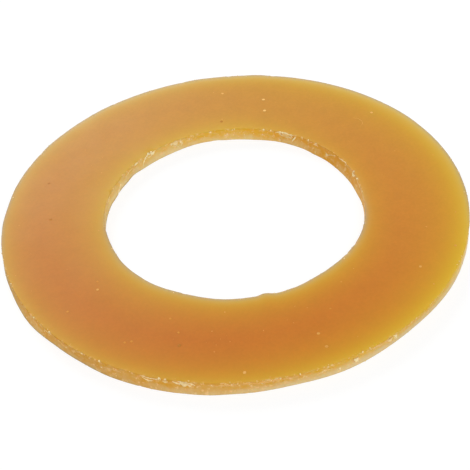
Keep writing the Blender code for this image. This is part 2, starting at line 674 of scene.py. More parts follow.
@dataclass(frozen=True)
class AmberFinish:
    """Translucent amber silicone: orange-brown in the body, with a straw yellow glow of painted
    light by the cut edges.
    """

    bore_radius: float
    outside_radius: float

    # The body, yellower towards the back as painted light shining through from behind, and drifting
    # in broad clouds
    body_front: Colour = (0.585, 0.166, 0.012, 1.0)
    body_back_backlit: Colour = (0.590, 0.250, 0.016, 1.0)
    body_depth: float = 52.0 * MM
    drift: Noise = Noise(45.0)
    drift_share: float = 0.4
    cloud: Noise = Noise(420.0, 3.0, 0.6)
    cloud_light: Band = Band(0.2, 0.8, 0.970, 1.030)
    speckle: Noise = Noise(2400.0, 2.0, 0.6)
    speckle_light: Band = Band(0.2, 0.8, 0.965, 1.035)

    # Painted light along the cut edges: a straw glow and a pale sheen; a grey line of painted shade
    # on the arris
    # Painted light: a straw glow where light scatters in through the cut edges, stronger on the
    # sides that face the lamps
    edge_glow: Colour = (0.710, 0.450, 0.018, 1.0)
    # Colour of the painted sheen, broad over the face and pale by the cut
    painted_sheen: Colour = (0.720, 0.560, 0.290, 1.0)
    # Painted sheen: a broad pale tint over the face, strongest towards azimuth 40
    broad_sheen: Swing = Swing(0.024, 0.030, 40.0)
    # Painted light: the face brighter towards azimuth 15, where more light falls
    painted_side_light: Swing = Swing(1.005, 0.045, 15.0)
    bore_glow_fade: Swing = Swing(2.2 * MM, 0.4 * MM, 180.0)
    outside_glow_fade: Swing = Swing(2.1 * MM, 0.6 * MM, 320.0)
    edge_sheen_fade: tuple[float, float] = (0.42 * MM, 0.62 * MM)
    outside_edge_glow: Swing = Swing(0.86, 0.28, 30.0)
    bore_edge_glow: Swing = Swing(0.68, 0.22, 270.0, 100.0,
                              times=Swing(1.0, -0.52, 22.0, 70.0, 10.0))
    outside_edge_sheen: Swing = Swing(0.05, 0.78, 74.0, 105.0)
    bore_edge_sheen: Swing = Swing(0.04, 0.56, 280.0, 110.0)
    fall: float = 0.3679
    # Painted shade: a thin grey line where the face turns over its arris, at the back of the outside
    # and the front of the bore
    rim: Colour = (0.345, 0.270, 0.188, 1.0)
    edge_shade_fade: float = 0.24 * MM
    edge_shade_on_arris: Band = Band(0.75, 0.98, 1.0, 0.0)
    outside_edge_shade: Swing = Swing(0.0, 0.98, 90.0, 112.0, 90.0)
    bore_edge_shade: Swing = Swing(0.0, 0.98, 268.0, 96.0, 76.0)

    # The cut walls, frosted in broad blotches, fine ones and drag marks, with painted light and
    # shade round the ring
    outside_wall: WallTint = WallTint(
        painted_shade_amber=(0.600, 0.240, 0.020, 1.0),
        depth=Swing(0.12, 0.34, 240.0, 60.0),
        frost=(0.700, 0.530, 0.270, 1.0),
        upper=Swing(0.10, 0.36, 90.0, 120.0, 85.0),
        lower=Swing(0.36, 0.84, 330.0, 90.0),
        painted_light=Swing(1.43, -0.26, 277.5, 68.0, 40.0, times=Swing(0.66, 0.34, 295.0, 108.0, 72.0)),
        foot=Swing(0.0, 0.55, 205.0, 50.0, 15.0),
        mottle=0.40)
    bore_wall: WallTint = WallTint(
        painted_shade_amber=(0.600, 0.240, 0.020, 1.0),
        depth=Swing(0.08, 0.28, 25.0, 60.0),
        frost=(0.700, 0.540, 0.270, 1.0),
        upper=Swing(0.02, 0.30, 150.0, 60.0, 15.0),
        lower=Swing(0.16, 0.66, 145.0, 125.0),
        painted_light=Swing(1.24, 0.16, 180.0, 40.0, 10.0),
        foot=Swing(0.0, 0.45, 170.0, 40.0, 20.0),
        mottle=0.52)
    blotch_squeeze: Axes = (1.0, 1.0, 2.2)
    broad: Noise = Noise(520.0, 3.0, 0.6)
    broad_band: Band = Band(0.36, 0.64)
    fine: Noise = Noise(1700.0)
    fine_band: Band = Band(0.34, 0.66)
    blotch_shares: Axes = (0.50, 0.35, 0.15)

    # Torn spots and flecks on the walls
    torn: Colour = (0.960, 0.640, 0.290, 1.0)
    bruise: Noise = Noise(2000.0, 3.0, 0.65)
    bruise_band: Band = Band(0.30, 0.60)
    fleck: Noise = Noise(2000.0, 2.0, 0.6)
    fleck_band: Band = Band(0.76, 0.88, 0.0, 0.70)
    swarm: Noise = Noise(330.0)
    swarm_share: float = 0.35
    arris_share: float = 0.06

    # Sheen and relief
    smear: Noise = Noise(160.0, 3.0, 0.6)
    face_roughness: Band = Band(0.3, 0.7, 0.40, 0.44)
    wall_roughness: float = 0.62
    torn_roughness: float = 0.80
    sheet: Noise = Noise(1400.0, 4.0, 0.6)
    sheet_relief: tuple[float, float] = (0.05, 0.02 * MM)
    grit: Noise = Noise(5200.0, 4.0, 0.65)
    grit_squeeze: Axes = (1.0, 1.0, 0.3)
    grit_relief: tuple[float, float] = (0.7, 0.03 * MM)
    gloss: float = 0.20
    refraction: float = 1.41
    subsurface: float = 0.20
    subsurface_radius: Axes = (1.0, 0.45, 0.12)
    subsurface_scale: float = 0.8 * MM

    def fringe(self, graph: ShaderTree, where: Plug, lengths: Sequence[Plug],
               strengths: Sequence[Swing]) -> bpy.types.NodeSocket:
        """Share of a fringe that fades away from both cut edges.

        Args:
            graph: the material's graph.
            where: Object coordinates.
            lengths: depth at which the share has come down to fall, from bore and outside.
            strengths: its share at those two edges.

        Returns:
            The share's socket.
        """
        radius = graph.mark("from_axis")
        depths = (graph.maths("SUBTRACT", radius, self.bore_radius),
                  graph.maths("SUBTRACT", self.outside_radius, radius))
        shares = []
        for depth, length, strength in zip(depths, lengths, strengths):
            depth = graph.maths("MAXIMUM", depth, 0.0)
            fade = graph.maths("POWER", self.fall, graph.maths("DIVIDE", depth, length))
            shares.append(graph.product(strength.at(graph, where), fade))
        return graph.maths("MAXIMUM", *shares)

    def body(self, graph: ShaderTree, where: Plug) -> bpy.types.NodeSocket:
        """Colour of the sheet: the body's amber, with painted light: yellower towards the back, and
        along both cut edges.

        Args:
            graph: the material's graph.
            where: Object coordinates.

        Returns:
            The colour's socket: a straw glow of painted light for a few millimetres, and a pale
            painted sheen by the cut.
        """
        # Painted light: yellower towards the back, where light shines through from behind
        back = graph.maths("DIVIDE", graph.axes(where)["Y"], self.body_depth)
        drift = graph.blend(self.drift_share, NOISE_MIDDLE, graph.noise(where, self.drift))
        amber = graph.tint(graph.total(back, drift), self.body_front, self.body_back_backlit)
        # Painted sheen: a broad pale tint, strongest on one side of the ring
        amber = graph.tint(self.broad_sheen.at(graph, where), amber, self.painted_sheen)
        cloud = graph.spread(graph.noise(where, self.cloud), self.cloud_light)
        speckle = graph.spread(graph.noise(where, self.speckle), self.speckle_light)
        amber = graph.scaled(graph.scaled(amber, cloud), speckle)
        # Painted light: a straw glow that fades in from both cut edges
        reach = (self.bore_glow_fade.at(graph, where), self.outside_glow_fade.at(graph, where))
        share = self.fringe(graph, where, reach, (self.bore_edge_glow, self.outside_edge_glow))
        amber = graph.tint(share, amber, self.edge_glow)
        # Painted highlight: a pale sheen close by the cut, where the face rounds over its edge
        share = self.fringe(graph, where, self.edge_sheen_fade, (self.bore_edge_sheen, self.outside_edge_sheen))
        # Painted light: the whole face scaled brighter on one side of the ring
        return graph.scaled(graph.tint(share, amber, self.painted_sheen), self.painted_side_light.at(graph, where))

    def edge_shaded(self, graph: ShaderTree, where: Plug, colour: Plug, cut: Plug,
               arris: Plug) -> bpy.types.NodeSocket:
        """Paint the thin grey line of shade where a face turns over its arris.

        Args:
            graph: the material's graph.
            where: Object coordinates.
            colour: colour of the ring without the line.
            cut: 1 on the cut walls, 0 on the faces.
            arris: 1 on the upper arrises, falling down the walls.

        Returns:
            The colour's socket.
        """
        share = self.fringe(graph, where, (self.edge_shade_fade,) * 2,
                            (self.bore_edge_shade, self.outside_edge_shade))
        below = graph.product(cut, graph.spread(arris, self.edge_shade_on_arris))
        share = graph.product(share, graph.maths("SUBTRACT", 1.0, below))
        return graph.tint(share, colour, self.rim)

    def wall(self, graph: Graph, where: Plug, amber: Plug) -> bpy.types.NodeSocket:
        """Colour of the cut walls.

        Args:
            graph: the material's graph.
            where: Object coordinates.
            amber: colour of the sheet at the edge.

        Returns:
            The colour's socket: frost in long blotches and fine flecks over the amber, with painted
            light and shade round the ring.
        """
        squeezed = graph.vectors("MULTIPLY", where, self.blotch_squeeze)
        layers = (graph.spread(graph.noise(squeezed, self.broad), self.broad_band),
                  graph.spread(graph.noise(where, self.fine), self.fine_band),
                  graph.drag(where))
        blotch = graph.total(*map(graph.product, layers, self.blotch_shares))
        flat = graph.vectors("MULTIPLY", where, LEVEL)
        middle = 0.5 * (self.bore_radius + self.outside_radius)
        outside = graph.maths("GREATER_THAN", graph.vectors("LENGTH", flat), middle)
        return graph.tint(outside, self.bore_wall.colour(graph, where, amber, blotch),
                          self.outside_wall.colour(graph, where, amber, blotch))

    def pallor(self, graph: ShaderTree, where: Plug, cut: Plug,
               arris: Plug) -> bpy.types.NodeSocket:
        """Share of torn silicone's paleness: in the torn spots, and in flecks on the walls.

        Args:
            graph: the material's graph.
            where: Object coordinates.
            cut: 1 on the cut walls, 0 on the faces.
            arris: 1 on the upper arrises, falling down the walls.

        Returns:
            The share's socket.
        """
        bruise = graph.spread(graph.noise(where, self.bruise), self.bruise_band)
        fleck = graph.total(graph.noise(where, self.fleck),
                            graph.product(graph.noise(where, self.swarm), self.swarm_share),
                            graph.product(arris, self.arris_share))
        fleck = graph.spread(fleck, self.fleck_band)
        return graph.maths("MAXIMUM", graph.product(graph.mark("torn"), bruise),
                           graph.product(fleck, cut))

    def relief(self, graph: ShaderTree, where: Plug, cut: Plug) -> bpy.types.NodeSocket:
        """Fine relief: a faint sheet texture, and grit on the cut walls.

        Args:
            graph: the material's graph.
            where: Object coordinates.
            cut: 1 on the cut walls, 0 on the faces.

        Returns:
            The normal's socket.
        """
        soft = graph.bump(graph.noise(where, self.sheet), *self.sheet_relief)
        grit = graph.noise(graph.vectors("MULTIPLY", where, self.grit_squeeze), self.grit)
        return graph.bump(graph.product(grit, cut), *self.grit_relief, under=soft)

    def material(self) -> bpy.types.Material:
        """Make the ring's material.

        Returns:
            The material.
        """
        graph = ShaderTree("amber_silicone")
        where = graph.where
        cut = graph.mark("cut")
        arris = graph.mark("arris")
        amber = self.body(graph, where)
        colour = graph.tint(cut, amber, self.wall(graph, where, amber))
        colour = self.edge_shaded(graph, where, colour, cut, arris)
        pale = self.pallor(graph, where, cut, arris)
        satin = graph.spread(graph.noise(where, self.smear), self.face_roughness)
        rough = graph.blend(cut, satin, self.wall_roughness)
        return graph.dress({
            "Base Color": graph.tint(pale, colour, self.torn),
            "Roughness": graph.blend(pale, rough, self.torn_roughness),
            "Normal": self.relief(graph, where, cut),
            "Subsurface Weight": self.subsurface,
            "Subsurface Radius": self.subsurface_radius,
            "Subsurface Scale": self.subsurface_scale,
            "Specular IOR Level": self.gloss,
            "IOR": self.refraction})


@dataclass(frozen=True)
class GrainFinish:
    """Crumbs, torn skins and grains; their own tone runs from -1, dark, over 0 to 1, pale."""

    name: str
    dark: Colour = (0.380, 0.130, 0.005, 1.0)
    plain: Colour = (0.800, 0.450, 0.110, 1.0)
    pale: Colour = (1.000, 0.850, 0.480, 1.0)
    mottle: Noise = Noise(6000.0, 3.0, 0.6)
    mottle_tone: Band = Band(0.2, 0.8, -0.18, 0.18)
    roughness: Band = Band(0.3, 0.7, 0.6, 0.8)
    relief: tuple[float, float] = (0.5, 0.02 * MM)
    gloss: float = 0.3

    def material(self) -> bpy.types.Material:
        """Make the material, mottled a little inside each grain.

        Returns:
            The material.
        """
        graph = ShaderTree(self.name)
        mottle = graph.noise(graph.where, self.mottle)
        tone = graph.total(graph.mark("tone"), graph.spread(mottle, self.mottle_tone))
        colour = graph.tint(graph.spread(tone, Band(-1.0, 0.0)), self.dark, self.plain)
        return graph.dress({
            "Base Color": graph.tint(graph.spread(tone, Band(0.0, 1.0)), colour, self.pale),
            "Roughness": graph.spread(mottle, self.roughness),
            "Normal": graph.bump(mottle, *self.relief),
            "Specular IOR Level": self.gloss})


class Row(NamedTuple):
    """One point of the ring's section: where it is and what it belongs to."""

    radius: float
    height: float
    cut: float
    arris: float
    outside: float


@dataclass
class SealRing:
    """The ring: a turned section whose cut edges wander, tear and chip."""

    bore_radius: float = 17.65 * MM
    outside_radius: float = field(default_factory=lambda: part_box(NODE)[1].x)
    top: float = field(default_factory=lambda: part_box(NODE)[1].z)
    headroom: float = 0.015 * MM
    entry_lip: float = 0.06 * MM
    exit_lip: float = 0.08 * MM
    hollow: float = 0.07 * MM
    turn_steps: int = 1700
    entry_segments: int = 4
    exit_segments: int = 2
    wall_segments: int = 14
    face_shares: tuple[float, ...] = (0.02, 0.10, 0.30, 0.50, 0.70, 0.90, 0.98)
    under_shares: tuple[float, ...] = (0.05, 0.5, 0.95)

    # How much the section's rows count as cut wall and as arris
    lip_cut: float = 0.35
    arris_under_lip: float = 0.8
    arris_fall: float = 3.0
    arris_on_wall: float = 0.08
    arris_below: float = 0.3
    lane_margin: float = 0.02

    # Relief of the cut walls
    fret: Noise = Noise(1100.0, 4.0, 0.6)
    fret_depth: float = 0.070 * MM
    drag_depth: float = 0.018 * MM
    nick_cells: float = 850.0
    nick_rarity: Band = Band(0.1, 0.9, 0.93, 0.60)
    nick_edge: Band = Band(0.16, 0.34, 1.0, 0.0)
    nick_depth: float = 0.080 * MM
    nick_tone: float = 0.6
    chip_outline: Noise = Noise(2600.0)
    chip_raggedness: Axes = (0.6 * MM, 0.0, 0.6 * MM)
    chip_edge: Band = Band(0.45, 1.0, 1.0, 0.0)
    chip_depth: float = 0.100 * MM

    @property
    def thickness(self) -> float:
        """Height of the top face, a little under the solid's so that grains have room."""
        return self.top - self.headroom

    def rim(self, skin: Skin) -> float:
        """Radius of one of the two cut walls."""
        return self.outside_radius if skin is Skin.OUTSIDE else self.bore_radius

    def place(self, skin: Skin, azimuth: float, along: float) -> Vector:
        """Place of a mark on the ring.

        Args:
            skin: the surface that carries it.
            azimuth: degrees.
            along: millimetres below the top face on a cut wall, radius in them on top.

        Returns:
            The place in the ring's own axes.
        """
        turn = radians(azimuth)
        radius, height = along * MM, self.thickness
        if skin is not Skin.TOP:
            radius = self.rim(skin)
            height -= along * MM
        return Vector((radius * cos(turn), radius * sin(turn), height))

    def edge_rows(self, skin: Skin) -> list[Row]:
        """One cut edge of the section.

        Args:
            skin: which of the two cut walls.

        Returns:
            Its points from the top face down to the bottom face.
        """
        points: list[tuple[float, float, float, float]] = []
        for i in range(self.entry_segments + 1):
            share = i / self.entry_segments
            turn = radians(90.0 * share)
            points.append((self.entry_lip * (1.0 - sin(turn)),
                           self.thickness - self.entry_lip * (1.0 - cos(turn)),
                           min(1.0, self.lip_cut + share), 1.0))
        low, high = self.exit_lip, self.thickness - self.entry_lip
        for i in range(1, self.wall_segments):
            share = i / self.wall_segments
            arris = max(self.arris_on_wall, self.arris_under_lip - self.arris_fall * share)
            points.append((self.hollow * sin(pi * share), high + (low - high) * share,
                           1.0, arris))
        for i in range(self.exit_segments + 1):
            turn = radians(90.0 * i / self.exit_segments)
            points.append((self.exit_lip * (1.0 - cos(turn)),
                           self.exit_lip * (1.0 - sin(turn)), 1.0, self.arris_below))
        way = -1.0 if skin is Skin.OUTSIDE else 1.0
        return [Row(self.rim(skin) + way * inset, height, cut, arris, skin.value)
                for inset, height, cut, arris in points]

    def face_rows(self, start: Row, end: Row, shares: Sequence[float]) -> list[Row]:
        """Points of a flat face between two rows that it joins.

        Args:
            start: the row that the face starts from.
            end: the row that it runs to.
            shares: how far across the face each point is.

        Returns:
            The face's own rows, without start and end.
        """
        rows = []
        for share in shares:
            radius = start.radius + (end.radius - start.radius) * share
            outside = start.outside + (end.outside - start.outside) * share
            rows.append(Row(radius, start.height, 0.0, 0.0, outside))
        return rows

    def section(self) -> bpy.types.Object:
        """Make the closed section: down the outside, in below, up the bore, out on top.

        Returns:
            Its points as a guide, with the numbers of each.
        """
        outside = self.edge_rows(Skin.OUTSIDE)
        bore = self.edge_rows(Skin.BORE)[::-1]
        under = self.face_rows(outside[-1], bore[0], self.under_shares)
        over = self.face_rows(bore[-1], outside[0], self.face_shares)
        rows = outside + under + bore + over
        return guide("section", [(r.radius, 0.0, r.height) for r in rows],
                     cut=[r.cut for r in rows], arris=[r.arris for r in rows],
                     face=[float(r.cut == 0.0) for r in rows],
                     outside=[r.outside for r in rows])

    def chip_guide(self, chips: Mapping[Skin, Sequence[Spot]]) -> bpy.types.Object:
        """Lay the chips out on the unrolled walls: length along, lane and height.

        Args:
            chips: the named chips of each cut wall.

        Returns:
            Their middles as a guide, with size and tone.
        """
        points, sizes, tones = [], [], []
        for skin, spots in chips.items():
            for spot in spots:
                points.append((radians(spot.azimuth) * self.rim(skin), skin.value,
                               self.thickness - spot.along * MM))
                sizes.append(spot.size * MM)
                tones.append(spot.tone)
        return guide("chips", points, size=sizes, tone=tones)

    @staticmethod
    def window_group() -> bpy.types.NodeTree:
        """Make a group that gives an amount at a middle and falls to 0 at a half-width.

        Returns:
            The group; it falls smoothly and takes degrees the short way round.
        """
        tree = bpy.data.node_groups.new("window", "GeometryNodeTree")
        for title in ("Value", "Middle", "Half Width", "Amount"):
            tree.interface.new_socket(title, in_out="INPUT", socket_type=Input.NUMBER.value)
        tree.interface.new_socket("Result", in_out="OUTPUT", socket_type=Input.NUMBER.value)
        graph = Graph(tree)
        given = tree.nodes.new("NodeGroupInput").outputs
        off = graph.maths("SUBTRACT", given["Value"], given["Middle"])
        off = graph.maths("ABSOLUTE", graph.maths("WRAP", off, 180.0, -180.0))
        share = graph.maths("MINIMUM", graph.maths("DIVIDE", off, given["Half Width"]), 1.0)
        crest = graph.maths("COSINE", graph.product(share, pi / 2))
        swell = graph.product(graph.maths("POWER", crest, 2.0), given["Amount"])
        tree.links.new(swell, tree.nodes.new("NodeGroupOutput").inputs[0])
        return tree

    def wander(self, graph: GeometryTree, window: bpy.types.NodeTree, azimuth: Plug,
               strays: Sequence[Stray]) -> bpy.types.NodeSocket:
        """Add up the strays of one edge.

        Args:
            graph: the ring's tree.
            window: the window group.
            azimuth: degrees round the ring.
            strays: the stretches that run off.

        Returns:
            The outward shift's socket.
        """
        parts = [graph.plug("GeometryNodeGroup", node_tree=window) for _ in strays]
        for part, stray in zip(parts, strays):
            sockets = part.node.inputs
            graph.tree.links.new(azimuth, sockets["Value"])
            sockets["Middle"].default_value = stray.azimuth
            sockets["Half Width"].default_value = stray.half_width
            sockets["Amount"].default_value = stray.outward
        return graph.total(*parts)

    def tears(self, graph: GeometryTree, window: bpy.types.NodeTree, azimuth: Plug,
              height: Plug, bites: Sequence[Bite]) -> bpy.types.NodeSocket:
        """Add up the depths torn out of one wall.

        Args:
            graph: the ring's tree.
            window: the window group.
            azimuth: degrees round the ring.
            height: metres above the bottom face.
            bites: the torn places.

        Returns:
            The depth's socket.
        """
        parts = []
        for bite in bites:
            across = Stray(bite.azimuth, bite.half_width, bite.depth)
            down = Stray(self.thickness - bite.below_top, bite.half_height, 1.0)
            parts.append(graph.product(self.wander(graph, window, azimuth, [across]),
                                       self.wander(graph, window, height, [down])))
        return graph.total(*parts)

    def shift(self, graph: GeometryTree, azimuth: Plug, height: Plug,
              outside: Plug) -> bpy.types.NodeSocket:
        """How far the section's points move outward at an azimuth.

        Args:
            graph: the ring's tree.
            azimuth: degrees round the ring.
            height: metres above the bottom face.
            outside: 1 on the outside, 0 in the bore, between them on the faces.

        Returns:
            The shift's socket.
        """
        window = self.window_group()
        upper = graph.blend(outside, self.wander(graph, window, azimuth, BORE_UPPER),
                            self.wander(graph, window, azimuth, OUTSIDE_UPPER))
        lower = graph.blend(outside, self.wander(graph, window, azimuth, BORE_LOWER),
                            self.wander(graph, window, azimuth, OUTSIDE_LOWER))
        drift = graph.blend(graph.maths("DIVIDE", height, self.thickness), lower, upper)
        in_bore = graph.product(
            graph.maths("LESS_THAN", outside, self.lane_margin),
            self.tears(graph, window, azimuth, height, BORE_BITES))
        on_outside = graph.product(
            graph.maths("GREATER_THAN", outside, 1.0 - self.lane_margin),
            self.tears(graph, window, azimuth, height, OUTSIDE_BITES))
        return graph.maths("SUBTRACT", graph.total(drift, in_bore), on_outside)

    def turned(self, graph: GeometryTree) -> bpy.types.NodeSocket:
        """Turn the section into the ring with its wandering edges.

        Args:
            graph: the ring's tree.

        Returns:
            The closed ring's socket, with the section's numbers on its points.
        """
        section = graph.contents("Section")
        rows = graph.node("GeometryNodeAttributeDomainSize", section).outputs["Point Count"]
        grid = graph.plug("GeometryNodeMeshGrid", 1.0, 1.0,
                          graph.maths("ADD", graph.given["Turn Steps"], 1.0),
                          graph.maths("ADD", rows, 1.0))
        place = graph.axes(graph.position())
        round_share = graph.maths("ADD", place["X"], 0.5)
        along = graph.product(graph.maths("ADD", place["Y"], 0.5), rows)
        back = graph.maths("ROUND", graph.maths("SUBTRACT", rows, along))
        row = graph.maths("MODULO", back, rows)

        point = graph.axes(graph.sample(section, graph.position(), row, "FLOAT_VECTOR"))
        outside = graph.sample(section, graph.attribute("outside"), row)
        azimuth = graph.product(round_share, 360.0)
        shift = self.shift(graph, azimuth, point["Z"], outside)
        radius = graph.total(point["X"], shift)
        turn = graph.product(round_share, 2.0 * pi)
        target = graph.plug("ShaderNodeCombineXYZ",
                            graph.product(radius, graph.maths("COSINE", turn)),
                            graph.product(radius, graph.maths("SINE", turn)),
                            point["Z"])
        marked = graph.store(grid, "from_axis", point["X"])
        for title in ("cut", "arris", "face", "outside"):
            value = graph.sample(section, graph.attribute(title), row)
            marked = graph.store(marked, title, value)
        placed = graph.moved(marked, target)
        return graph.plug("GeometryNodeMergeByDistance", placed, None, MERGE_DISTANCE)

    def chipped(self, graph: GeometryTree, where: Plug) -> bpy.types.NodeSocket:
        """Depth share of the named chips, from 0 to each chip's tone.

        Args:
            graph: the ring's tree.
            where: place of each point.

        Returns:
            The share's socket.
        """
        axes = graph.axes(where)
        outside = graph.maths("GREATER_THAN", graph.attribute("outside"), 0.5)
        turn = graph.maths("WRAP", graph.maths("ARCTAN2", axes["Y"], axes["X"]), 2.0 * pi, 0.0)
        rim = graph.blend(outside, self.bore_radius, self.outside_radius)
        flat = graph.plug("ShaderNodeCombineXYZ", graph.product(turn, rim), outside, axes["Z"])
        stray = graph.vectors("MULTIPLY", graph.sway(where, self.chip_outline),
                              self.chip_raggedness)
        flat = graph.vectors("ADD", flat, stray)
        chips = graph.contents("Chips")
        nearest = graph.plug("GeometryNodeSampleNearest", chips, flat)
        middle = graph.sample(chips, graph.position(), nearest, "FLOAT_VECTOR")
        size = graph.sample(chips, graph.attribute("size"), nearest)
        tone = graph.sample(chips, graph.attribute("tone"), nearest)
        away = graph.maths("DIVIDE", graph.vectors("DISTANCE", flat, middle), size)
        return graph.product(graph.spread(away, self.chip_edge), tone)

    def nicked(self, graph: GeometryTree, where: Plug) -> bpy.types.NodeSocket:
        """Depth share of the many small nicks, most of them along the arrises.

        Args:
            graph: the ring's tree.
            where: place of each point.

        Returns:
            The share's socket.
        """
        cells = graph.node("ShaderNodeTexVoronoi", where)
        cells.inputs["Scale"].default_value = self.nick_cells
        lot = graph.axes(cells.outputs["Color"])["X"]
        rare = graph.spread(graph.attribute("arris"), self.nick_rarity)
        spot = graph.spread(cells.outputs["Distance"], self.nick_edge)
        return graph.product(spot, graph.maths("GREATER_THAN", lot, rare))

    def frayed(self, graph: GeometryTree, ring: Plug) -> bpy.types.NodeSocket:
        """Roughen and chip the cut edges.

        Args:
            graph: the ring's tree.
            ring: the turned ring.

        Returns:
            The ring with its relief, and with the torn spots marked.
        """
        where = graph.position()
        cut = graph.attribute("cut")
        chip = self.chipped(graph, where)
        nick = self.nicked(graph, where)
        depth = graph.total(
            graph.product(graph.about_zero(graph.noise(where, self.fret)), self.fret_depth),
            graph.product(graph.about_zero(graph.drag(where)), self.drag_depth),
            graph.product(nick, self.nick_depth),
            graph.product(chip, self.chip_depth))
        inward = graph.product(depth, cut, graph.given["Relief"], -1.0)
        pale = graph.maths("MAXIMUM", chip, graph.product(nick, self.nick_tone))
        marked = graph.store(ring, "torn", graph.product(pale, cut))
        return graph.moved(marked, None, graph.scaled(graph.normal(), inward))

    def build(self, chips: Mapping[Skin, Sequence[Spot]]) -> bpy.types.Object:
        """Make the dressed ring.

        Args:
            chips: the named chips of each cut wall.

        Returns:
            The ring, standing for the solid's node.
        """
        graph = GeometryTree("turned_ring", {
            "Section": Input.OBJECT, "Chips": Input.OBJECT, "Turn Steps": Input.COUNT,
            "Relief": Input.NUMBER, "Finish": Input.MATERIAL})
        graph.finish(self.frayed(graph, self.turned(graph)))
        guides = [self.section(), self.chip_guide(chips)]
        finish = AmberFinish(self.bore_radius, self.outside_radius)
        ring = graph.make("amber_seal_ring", {
            "Section": guides[0], "Chips": guides[1], "Turn Steps": self.turn_steps,
            "Relief": 1.0, "Finish": finish.material()})
        discard(guides)
        hand_over(ring)
        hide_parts(NODE)
        return ring


# Strays of the four edges and torn places, as on the solid
OUTSIDE_UPPER = (
    Stray(34.0, 9.0, 0.06 * MM),
    Stray(80.0, 5.0, 0.12 * MM),
    Stray(97.0, 6.0, 0.09 * MM),
    Stray(126.0, 8.0, 0.08 * MM),
    Stray(146.0, 6.0, 0.06 * MM),
    Stray(172.0, 8.0, -0.10 * MM),
)
OUTSIDE_LOWER = (
    Stray(193.0, 13.0, 0.17 * MM),
    Stray(210.0, 14.0, 0.25 * MM),
    Stray(214.0, 8.0, 0.08 * MM),
    Stray(238.0, 9.0, 0.11 * MM),
    Stray(250.0, 20.0, 0.20 * MM),
    Stray(261.0, 6.0, 0.08 * MM),
    Stray(280.0, 12.0, -0.18 * MM),
    Stray(310.0, 21.0, -0.34 * MM),
)
BORE_UPPER = (
    Stray(28.0, 22.0, 0.18 * MM),
    Stray(197.0, 22.0, -0.22 * MM),
    Stray(222.0, 16.0, -0.08 * MM),
    Stray(244.0, 17.0, -0.20 * MM),
    Stray(265.0, 10.0, 0.06 * MM),
    Stray(279.5, 4.0, -0.25 * MM),
    Stray(285.5, 5.0, 0.12 * MM),
    Stray(292.0, 12.0, 0.21 * MM),
    Stray(312.0, 26.0, 0.15 * MM),
    Stray(334.0, 26.0, 0.31 * MM),
)
BORE_LOWER = (
    Stray(9.0, 9.0, -0.12 * MM),
    Stray(25.0, 32.0, -0.30 * MM),
    Stray(45.0, 8.0, -0.14 * MM),
    Stray(65.0, 10.0, 0.08 * MM),
    Stray(78.0, 13.0, -0.09 * MM),
    Stray(95.0, 5.0, 0.09 * MM),
    Stray(104.0, 16.0, 0.24 * MM),
    Stray(140.5, 7.0, 0.22 * MM),
    Stray(158.0, 6.0, -0.10 * MM),
)
OUTSIDE_BITES = (
    Bite(256.0, 4.0, 0.50 * MM, 0.60 * MM, 0.14 * MM),
    Bite(294.0, 3.0, 0.90 * MM, 0.60 * MM, 0.12 * MM),
    Bite(303.0, 3.0, 0.60 * MM, 0.50 * MM, 0.10 * MM),
)
BORE_BITES = (
    Bite(130.0, 5.0, 0.30 * MM, 0.70 * MM, 0.18 * MM),
    Bite(112.0, 5.0, 0.50 * MM, 0.60 * MM, 0.12 * MM),
    Bite(61.0, 5.5, 0.35 * MM, 0.70 * MM, 0.14 * MM),
    Bite(16.0, 4.0, 0.20 * MM, 0.60 * MM, 0.14 * MM),
)

